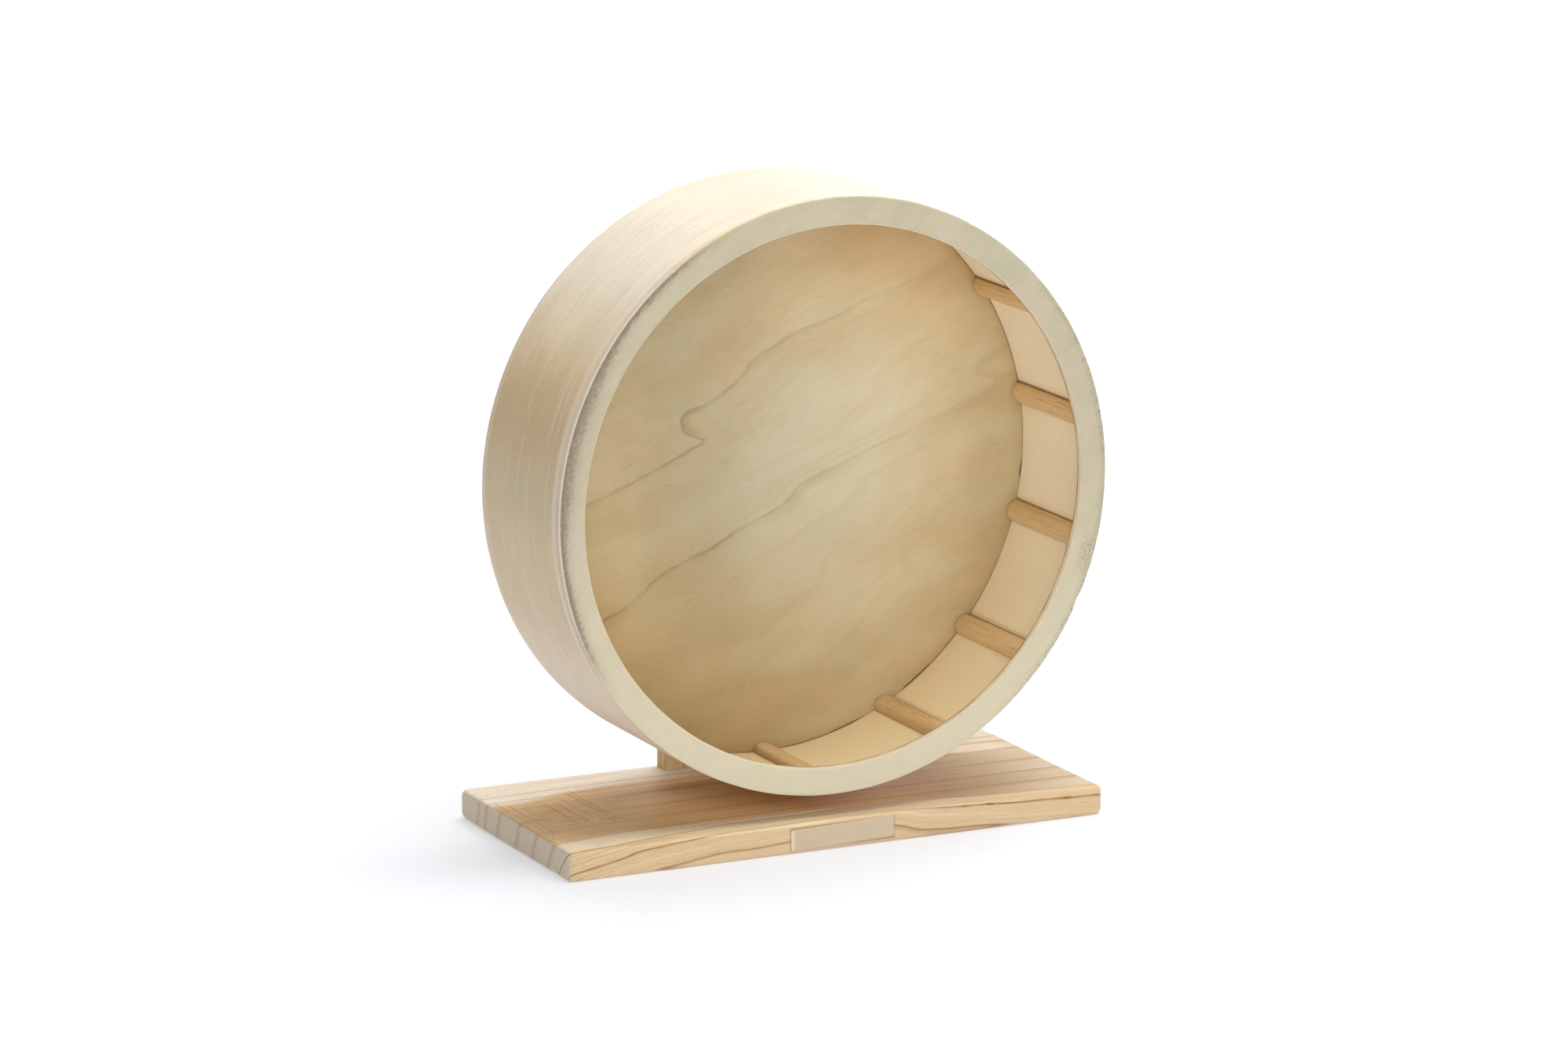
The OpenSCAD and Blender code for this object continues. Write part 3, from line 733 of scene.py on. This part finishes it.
def zinc(name, tone, dull, rough, across):
    """Plated steel: cloudy plating, fine turning marks and small dull spots."""
    s = Shade(name)
    cloud = s.noise((s.x, s.y, s.up), (3, 3, 3), detail=3)
    turned = s.spots(s.y, s.radius(), across, across, 1, detail=1)
    s.colour = s.mix(s.step(cloud, 0.4, 0.66), tone, dull)
    spots = s.step(s.noise((s.x, s.y, s.up), (0.8, 0.8, 0.8)), 0.66, 0.74)
    s.paint(spots * 0.4, "#6d6a64")
    return s.finish(rough + cloud * 0.18 + spots * 0.2, turned * 0.02, metal=1, shine=0.5)


def nylon(name, tone, dull):
    s = Shade(name)
    mottle = s.noise((s.x, s.y, s.z), (1.5, 1.5, 1.5), detail=3)
    s.colour = s.mix(mottle, tone, dull)
    return s.finish(0.38 + mottle * 0.14, mottle * 0.02)


# Meshes

def link(name, data):
    """New object in the scene."""
    made = bpy.data.objects.new(name, data)
    bpy.context.scene.collection.objects.link(made)
    return made


def solid(name, points, faces):
    """Mesh from points in millimetres, with its faces turned outwards."""
    mesh = bpy.data.meshes.new(name)
    mesh.from_pydata((np.asarray(points) * MM).tolist(), [], faces)
    work = bmesh.new()
    work.from_mesh(mesh)
    bmesh.ops.remove_doubles(work, verts=work.verts, dist=1e-6)
    bmesh.ops.recalc_face_normals(work, faces=work.faces)
    work.to_mesh(mesh)
    work.free()
    return mesh


def make(name, points, faces, material, body, replaced, sharp=50):
    """Piece of the part, smooth except where it bends sharply."""
    mesh = solid(name, points, faces)
    mesh.shade_smooth()
    mesh.set_sharp_from_angle(angle=math.radians(sharp))
    mesh.materials.append(material)
    made = link(name, mesh)
    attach(made, body)
    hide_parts(*replaced)
    return made


def bridge(rows, columns, closed_rows, closed_columns):
    """Quads between the points of a grid that is numbered row by row."""
    faces = []
    for i in range(rows if closed_rows else rows - 1):
        for j in range(columns if closed_columns else columns - 1):
            a, b = i * columns, ((i + 1) % rows) * columns
            faces.append((a + j, a + (j + 1) % columns, b + (j + 1) % columns, b + j))
    return faces


def caps(rows, columns):
    """First and last row of such a grid as two faces."""
    last = (rows - 1) * columns
    return [tuple(range(columns)), tuple(range(last, last + columns))]


def sway(angle, seed, size, waves=range(1, 8)):
    """Smooth wander round a full turn, of about the given size."""
    dice = np.random.default_rng(seed)
    total = np.zeros_like(angle)
    for k in waves:
        total += np.cos(k * angle + dice.uniform(0, 2 * math.pi)) * dice.uniform(0.4, 1)
    return total * size / math.sqrt(len(waves))


def from_angle(angle, centre):
    """How far an angle is past a centre that is given in degrees, from -pi to pi."""
    return (angle - math.radians(centre) + math.pi) % (2 * math.pi) - math.pi


def near(distance, reach):
    """1 at no distance, falling to 0 at the given reach."""
    return np.clip(1 - distance / reach, 0, 1)


def dent(angle, centre, half):
    """1 at an angle in degrees, falling steeply to 0 half a width away."""
    return near(np.abs(from_angle(angle, centre)), math.radians(half)) ** 2


def lathe(profile, angles, warp, closed):
    """Points and faces of a profile of (radius, y) turned about the wheel's axis."""
    profile = np.asarray(profile, float)
    turn = np.repeat(np.asarray(angles)[:, None], len(profile), 1)
    radius, y = warp(np.tile(profile[:, 0], (len(angles), 1)), turn,
                     np.tile(profile[:, 1], (len(angles), 1)))
    points = np.stack([radius * np.cos(turn), y, AXLE_Z + radius * np.sin(turn)], -1)
    faces = bridge(len(angles), len(profile), closed, True)
    if not closed:
        faces += caps(len(angles), len(profile))
    return points.reshape(-1, 3), faces


def trace(corners, steps):
    """Points along straight lines from corner to corner, without the last corner."""
    points = []
    for start, end, count in zip(corners, corners[1:], steps):
        start, end = np.asarray(start, float), np.asarray(end, float)
        points += [tuple(start + (end - start) * i / count) for i in range(count)]
    return points


def full_turn(steps):
    return np.linspace(0, 2 * math.pi, steps, endpoint=False)


def front_ring():
    ease = 0.6
    corners = (
        (RING_IN + ease, RING_FRONT), (RING_OUT - ease, RING_FRONT),
        (RING_OUT - 0.15, RING_FRONT + 0.2), (RING_OUT, RING_FRONT + ease),
        (RING_OUT, RING_BACK), (RING_IN, RING_BACK), (RING_IN, RING_FRONT + 0.3),
        (RING_IN + ease, RING_FRONT),
    )

    def warp(radius, turn, y):
        rim = near(RING_OUT - radius, 2.5)
        mouth = near(radius - RING_IN, 2)
        chipped = dent(turn, -25.6, 3.6) * 0.9 + dent(turn, 61, 1.2) * 0.25
        frayed = 0.1 + sway(turn, 11, 0.05, range(20, 60, 3))
        radius = radius - rim * (frayed + chipped)
        radius = radius + mouth * (sway(turn, 12, 0.12) + sway(turn, 13, 0.04, range(30, 90, 7)))
        front = near(y - RING_FRONT, 0.5)
        return radius, y + front * (0.05 + sway(turn, 14, 0.04, range(2, 30, 3)))

    profile = trace(corners, (12, 2, 2, 4, 4, 4, 2))
    points, faces = lathe(profile, full_turn(960), warp, True)
    make("front_ring_dressed", points, faces, ring_veneer(), WHEEL, ["front_ring"])


def running_band():
    bevel = 0.2
    corners = (
        (BAND_OUT, RING_BACK), (BAND_OUT, BAND_BACK - bevel), (BAND_OUT - bevel, BAND_BACK),
        (BAND_IN + bevel, BAND_BACK), (BAND_IN, BAND_BACK - bevel), (BAND_IN, RING_BACK),
        (BAND_OUT, RING_BACK),
    )

    def warp(radius, turn, y):
        outer = near(BAND_OUT - radius, BAND_OUT - BAND_IN)
        slow = sway(turn + y * 0.004, 21, 0.07, range(2, 12)) + 0.12
        veneer = sway(turn + y * 0.0015, 22, 0.03, range(15, 90, 4))
        radius = radius - np.clip(slow + veneer, 0, 0.4) * outer
        back = near(BAND_BACK - y, 3)
        return radius, y - back * np.clip(0.25 + sway(turn, 23, 0.16), 0, 0.8)

    gap = math.radians(0.08)
    angles = np.linspace(SEAM_ANGLE + gap, SEAM_ANGLE + 2 * math.pi - gap, 900)
    points, faces = lathe(trace(corners, (40, 1, 4, 1, 40, 2)), angles, warp, False)
    make("running_band_dressed", points, faces, band_veneer(), WHEEL, ["running_band"])


# Where the gap round the disc opens: start and end in degrees, softness there, and how much
DISC_GAPS = ((11, 60, 3, 0.2), (-7, -5.6, 0.8, 0.7), (-5, -4.4, 0.5, 0.4), (-36, -24, 5, 0.06),
             (-56.5, -51, 1.2, 0.45), (-53, -42, 6, 0.25), (-74, -69, 1.4, 0.35),
             (-84, -71, 5, 0.22), (-112, -92, 3, 0.14))


def back_disc():
    ease = 0.25
    rim = BAND_IN - 0.03
    corners = (
        (0, DISC_FRONT), (rim - ease, DISC_FRONT), (rim, DISC_FRONT + ease),
        (rim, DISC_BACK - ease), (rim - ease, DISC_BACK), (0, DISC_BACK),
    )
    profile = trace(corners, (24, 1, 3, 1, 24)) + [corners[-1]]

    def warp(radius, turn, y):
        edge = near(rim - radius, 6)
        gap = sway(turn, 31, 0.02) + sway(turn, 32, 0.02, range(20, 70, 5))
        for start, end, soft, size in DISC_GAPS:
            inside = (end - start) / 2 - np.abs(np.degrees(from_angle(turn, (start + end) / 2)))
            gap = gap + np.clip(inside / soft + 1, 0, 1) * size
        return radius - edge * np.clip(gap, 0, 1.6), y

    points, faces = lathe(profile, full_turn(900), warp, True)
    keep = [f for f in faces if not all(i % len(profile) in (0, len(profile) - 1) for i in f)]
    make("back_disc_dressed", points, keep, disc_veneer(), WHEEL, ["back_disc"])


# Radius of the rungs' dowel, how high its kept part stands on the band, and the angle from the
# top of that to where it meets the band
DOWEL = 6
RUNG_TALL = BAND_IN - RUNG_IN
RUNG_SPREAD = math.pi - math.acos((RUNG_TALL - DOWEL) / DOWEL)
RUNG_STEPS = 64
RUNG_SPLITS = 5


def rung(node, seed):
    """Half-round strip with split fibres, slightly bowed, with eased ends."""
    dice = np.random.default_rng(seed)
    low, high = span(node, 1)
    cos, sin = math.cos(rung_angle(node)), math.sin(rung_angle(node))
    around = np.linspace(-RUNG_SPREAD, RUNG_SPREAD, 25)
    lines = dice.uniform(-1.9, 1.9, RUNG_SPLITS)
    deep = dice.uniform(0.05, 0.16, RUNG_SPLITS)
    drift = dice.uniform(-0.25, 0.25, RUNG_SPLITS)
    bow = dice.uniform(-0.15, 0.15)
    rows = []
    for share in np.linspace(0, 1, RUNG_STEPS + 1):
        y = low + (high - low) * share
        ease = 0.3 * near(min(share, 1 - share) * RUNG_STEPS, 1.5)
        size = np.full_like(around, DOWEL - ease)
        for line, cut, shift in zip(lines, deep, drift):
            path = line + shift * math.sin(3.1 * share + line)
            open_by = cut * (0.6 + 0.4 * math.sin(9 * share + line))
            size -= open_by * np.exp(-((around - path) / 0.07) ** 2)
        fray = 0.06 * math.sin(61 * share + seed) + 0.05 * math.sin(23 * share + 2 * seed)
        size -= np.where(np.abs(around) > 1.35, 0.1 + fray, 0)
        side = size * np.sin(around) + bow * math.sin(math.pi * share)
        radius = BAND_IN - size * np.cos(around) + DOWEL - RUNG_TALL
        rows.append(np.stack([
            radius * cos - side * sin, np.full_like(side, y),
            AXLE_Z + radius * sin + side * cos], -1))
    faces = bridge(len(rows), len(around), False, True) + caps(len(rows), len(around))
    make(node + "_dressed", np.concatenate(rows), faces, RUNG_WOOD, WHEEL, [node])


def spaced(half, edge, middle):
    """Places from -half to half, close together within edge of both ends."""
    end = np.sort(half - edge * np.linspace(0, 1, 6) ** 1.4)
    inner = np.linspace(-end[0], end[0], middle)
    return np.concatenate([-end[::-1], inner[1:-1], end])


def base_board():
    """Board with rounded edges, a little hollow on top, with two countersunk holes below."""
    centre = np.array([0, 0, BASE_TOP / 2])
    half = np.array([BASE_X, BASE_Y, BASE_TOP / 2])
    xs, ys, zs = spaced(half[0], 5, 150), spaced(half[1], 5, 70), spaced(half[2], 4, 8)
    points, faces = [], []
    for axis, us, vs in ((0, ys, zs), (1, xs, zs), (2, xs, ys)):
        for sign in (-1, 1):
            grid = np.stack(np.meshgrid(us, vs, indexing="ij"), -1).reshape(-1, 2)
            grid = np.insert(grid, axis, sign * half[axis], axis=1)
            start = sum(len(p) for p in points)
            points.append(grid)
            quads = bridge(len(us), len(vs), False, False)
            faces += [tuple(i + start for i in quad) for quad in quads]
    flat = np.concatenate(points)
    behind, right = near(half[1] - flat[:, 1], 12), near(half[0] - flat[:, 0], 12)
    round_off = 2.1 + 1.4 * behind + 0.9 * right * (1 - behind)
    round_off = round_off + sway(flat[:, 0] / 40, 41, 0.12) + sway(flat[:, 1] / 30, 42, 0.12)
    inner = half[None, :] - round_off[:, None]
    core = np.clip(flat, -inner, inner)
    away = flat - core
    size = np.linalg.norm(away, axis=1, keepdims=True)
    shaped = core + away / np.maximum(size, 1e-9) * np.minimum(size, round_off[:, None])
    top = np.clip(shaped[:, 2] / half[2], 0, 1)
    hollow = 0.15 * (1 - (shaped[:, 1] / half[1]) ** 2)
    shaped[:, 2] -= top * np.clip(hollow + sway(shaped[:, 0] / 45, 43, 0.04), 0, 0.3)
    board = make("base_board_dressed", shaped + centre, faces, board_pine(), STAND,
                 ["base_board"], 60)
    drill(board, ((-SCREW_X, SCREW_Y), (SCREW_X, SCREW_Y)), SCREW_HOLE, 60)


# Countersunk hole for a post screw, from below: radius and height
SCREW_HOLE = ((SCREW_HEAD + 0.1, -1), (SCREW_HEAD + 0.1, SCREW_Z), (2.1, SCREW_Z + 1.8),
              (2.1, BASE_TOP + 1))


def drill(target, places, profile, sharp):
    """Cuts holes of a turned profile of (radius, height) out of a piece, upright."""
    turn = full_turn(48)
    for x, y in places:
        rows = [np.stack([x + r * np.cos(turn), y + r * np.sin(turn), np.full_like(turn, z)], -1)
                for r, z in profile]
        faces = bridge(len(rows), len(turn), False, True) + caps(len(rows), len(turn))
        bit = link("drill", solid("drill", np.concatenate(rows), faces))
        cut = target.modifiers.new("hole", "BOOLEAN")
        cut.operation, cut.solver, cut.object = "DIFFERENCE", "EXACT", bit
        bpy.context.view_layer.update()
        done = target.evaluated_get(bpy.context.evaluated_depsgraph_get())
        shape = bpy.data.meshes.new_from_object(done)
        target.modifiers.clear()
        target.data = shape
        bpy.data.objects.remove(bit)
    target.data.set_sharp_from_angle(angle=math.radians(sharp))


def post_outline(inset):
    """Outline of the post, anticlockwise from the right of its round top."""
    wide = POST_X - inset
    turn = np.linspace(0, math.pi, 48, endpoint=False)
    top = [(wide * math.cos(a), AXLE_Z + wide * math.sin(a)) for a in turn]
    feet = ((-wide, AXLE_Z), (-wide, BASE_TOP), (wide, BASE_TOP), (wide, AXLE_Z))
    return np.array(top + trace(feet, (40, 16, 40)))


def support_post():
    ease = 0.9
    hole = 4.25
    layers = []
    for y, inset in ((POST_FRONT, ease), (POST_FRONT + 0.25, 0.3), (POST_FRONT + ease, 0),
                     (POST_BACK - ease, 0), (POST_BACK - 0.25, 0.3), (POST_BACK, ease)):
        outline = post_outline(inset)
        wobble = sway(np.linspace(0, 2 * math.pi, len(outline)), 51, 0.05, range(3, 40, 4))
        outline[:, 0] -= np.sign(outline[:, 0]) * np.abs(wobble)
        layers.append(np.stack([outline[:, 0], np.full(len(outline), y), outline[:, 1]], -1))
    outline = layers[0]
    turn = np.arctan2(outline[:, 2] - AXLE_Z, outline[:, 0])
    for y in (POST_BACK, POST_FRONT):
        layers.append(np.stack([hole * np.cos(turn), np.full(len(turn), y),
                                AXLE_Z + hole * np.sin(turn)], -1))
    points = np.concatenate(layers)
    faces = bridge(len(layers), len(outline), True, True)
    make("support_post_dressed", points, faces, post_pine(), STAND, ["support_post"], 40)


LABEL_TILT = math.radians(1.3)
LABEL_CORNER = 1
LABEL_CUSHION = 0.8


def label_plate():
    """Blank card with round corners and cushioned edges."""
    low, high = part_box("label_plate")
    cos, sin = math.cos(LABEL_TILT), math.sin(LABEL_TILT)
    shrink = 2 * MM * math.cos(2 * LABEL_TILT)
    half_x = ((high.x - low.x) * cos - (high.z - low.z) * sin) / shrink
    half_z = ((high.z - low.z) * cos - (high.x - low.x) * sin) / shrink
    columns, rows = 61, 17
    u, v = np.meshgrid(np.linspace(-1, 1, columns), np.linspace(-1, 1, rows), indexing="ij")
    x, z = u * half_x, v * half_z
    inner_x = np.clip(x, LABEL_CORNER - half_x, half_x - LABEL_CORNER)
    inner_z = np.clip(z, LABEL_CORNER - half_z, half_z - LABEL_CORNER)
    size = np.hypot(x - inner_x, z - inner_z)
    scale = np.minimum(size, LABEL_CORNER) / np.maximum(size, 1e-9)
    x, z = inner_x + (x - inner_x) * scale, inner_z + (z - inner_z) * scale
    rim = near(np.minimum(half_x - np.abs(x), half_z - np.abs(z)), LABEL_CUSHION)
    crown = low.y / MM + 0.06 + 0.22 * rim ** 2
    turned_x = LABEL_X + x * cos - z * sin
    turned_z = LABEL_Z + x * sin + z * cos
    face = np.stack([turned_x, crown, turned_z], -1).reshape(-1, 3)
    rear = face.copy()
    rear[:, 1] = high.y / MM
    count = len(face)
    faces = bridge(columns, rows, False, False)
    faces += [tuple(i + count for i in quad[::-1]) for quad in faces]
    grid = np.arange(count).reshape(columns, rows)
    border = np.concatenate([grid[:, 0], grid[-1, 1:], grid[-2::-1, -1], grid[0, -2:0:-1]]).tolist()
    for a, b in zip(border, border[1:] + border[:1]):
        faces.append((a, b, b + count, a + count))
    make("label_plate_dressed", np.concatenate([face, rear]), faces, label_card(), STAND,
         ["label_plate"])


# Pieces

front_ring()
running_band()
back_disc()
RUNG_WOOD = rung_pine()
for number, rung_node in enumerate(RUNGS):
    rung(rung_node, number + 100)
base_board()
support_post()
label_plate()

STEEL_PIECES = ("axle_bolt", "spacer_sleeve", "post_washers", "lock_nut", "post_screws")
NODE_FINISHES = dict.fromkeys(STEEL_PIECES, zinc("zinc_plating", "#c9cbc8", "#a9aaa4", 0.28, 0.25))
NODE_FINISHES["hub_block"] = hub_wood()
NODE_FINISHES["nut_insert"] = nylon("nut_nylon", "#4f74b8", "#3f62a4")
# Finishes of a bearing: the pieces that have it, two tones, roughness, size of turning marks
BEARING_FINISHES = {
    "race": (("inner_race", "outer_race"), "#d8dadb", "#bfc3c6", 0.14, 0.12),
    "shield": (("shields",), "#a3a8ac", "#8b9094", 0.3, 0.3),
    "ball": (("balls",), "#e4e6e8", "#d4d8da", 0.06, 0.1),
    "cage": (("cage",), "#b08d4f", "#98763c", 0.3, 0.2),
}
for side in ("front", "rear"):
    for name, (pieces, *look) in BEARING_FINISHES.items():
        finish = zinc(name + "_" + side, *look)
        for piece in pieces:
            NODE_FINISHES[side + "_bearing_" + piece] = finish
for node, finish in NODE_FINISHES.items():
    mesh = frame["nodes"][node].data
    mesh.materials.clear()
    mesh.materials.append(finish)


# Stage

CAMERA_PLACE = Vector((-1.4126, -2.8592, 0.8778))
CAMERA_YAW = math.radians(26.302)
CAMERA_PITCH = math.radians(-12.83)
CAMERA_ROLL = math.radians(0.224)
CAMERA_LENS = 150.52


def camera():
    data = bpy.data.cameras.new("camera")
    data.lens = CAMERA_LENS
    data.sensor_width = 36
    made = link("camera", data)
    pan = Matrix.Rotation(-CAMERA_YAW, 4, "Z")
    nod = Matrix.Rotation(math.pi / 2 + CAMERA_PITCH, 4, "X")
    roll = Matrix.Rotation(CAMERA_ROLL, 4, "Z")
    made.matrix_world = Matrix.Translation(CAMERA_PLACE) @ pan @ nod @ roll
    bpy.context.scene.camera = made


def floor():
    """Pale table that also gives off a little light, and more far away, where it stays white."""
    mesh = bpy.data.meshes.new("floor")
    reach = 14
    mesh.from_pydata([(-reach, -reach, 0), (reach, -reach, 0), (reach, reach, 0),
                      (-reach, reach, 0)], [], [(0, 1, 2, 3)])
    s = Shade("floor_white")
    away = s.hypot(s.x, s.y)
    s.put(s.shader.inputs["Emission Color"], "#f9faff")
    s.put(s.shader.inputs["Emission Strength"], s.step(away, 500, 2600, *FLOOR_GLOW))
    s.colour = "#cfd1d6"
    mesh.materials.append(s.finish(0.9, shine=0))
    made = link("floor", mesh)


def softbox(name, place, aim, size, power, tone):
    """Square area light at a place, turned to a point."""
    data = bpy.data.lights.new(name, "AREA")
    data.shape = "SQUARE"
    data.size = size
    data.energy = power
    data.color = linear(tone)[:3]
    place, aim = Vector(place), Vector(aim)
    turn = (aim - place).to_track_quat("-Z", "Y").to_matrix().to_4x4()
    link(name, data).matrix_world = Matrix.Translation(place) @ turn


def surroundings(left, elsewhere):
    """Even light from all sides, darker from the left."""
    world = bpy.data.worlds.new("studio")
    world.use_nodes = True
    tree = world.node_tree
    split = tree.nodes.new("ShaderNodeSeparateXYZ")
    tree.links.new(tree.nodes.new("ShaderNodeTexCoord").outputs["Generated"], split.inputs[0])
    turn = tree.nodes.new("ShaderNodeMapRange")
    turn.interpolation_type = "SMOOTHSTEP"
    for socket, value in zip(turn.inputs[1:5], (-0.8, 0.1, left, elsewhere)):
        socket.default_value = value
    tree.links.new(split.outputs[0], turn.inputs[0])
    tree.links.new(turn.outputs[0], tree.nodes["Background"].inputs[1])
    tree.nodes["Background"].inputs[0].default_value = linear("#ffffff")
    bpy.context.scene.world = world


FLOOR_GLOW = (0.315, 1)
camera()
floor()
surroundings(0.12, 0.48)
softbox("overhead", (0.32, 0, 1.6), (0, 0, 0.1), 1.4, 27, "#fffefa")
softbox("left_front", (-1, -2.3, 0.85), (0, 0, 0.15), 1.3, 23, "#ffffff")
softbox("backdrop", (1.33, 2.7, 0.75), (0, 0, 0.1), 2.4, 26, "#ffffff")
bpy.context.scene.view_settings.view_transform = "Standard"
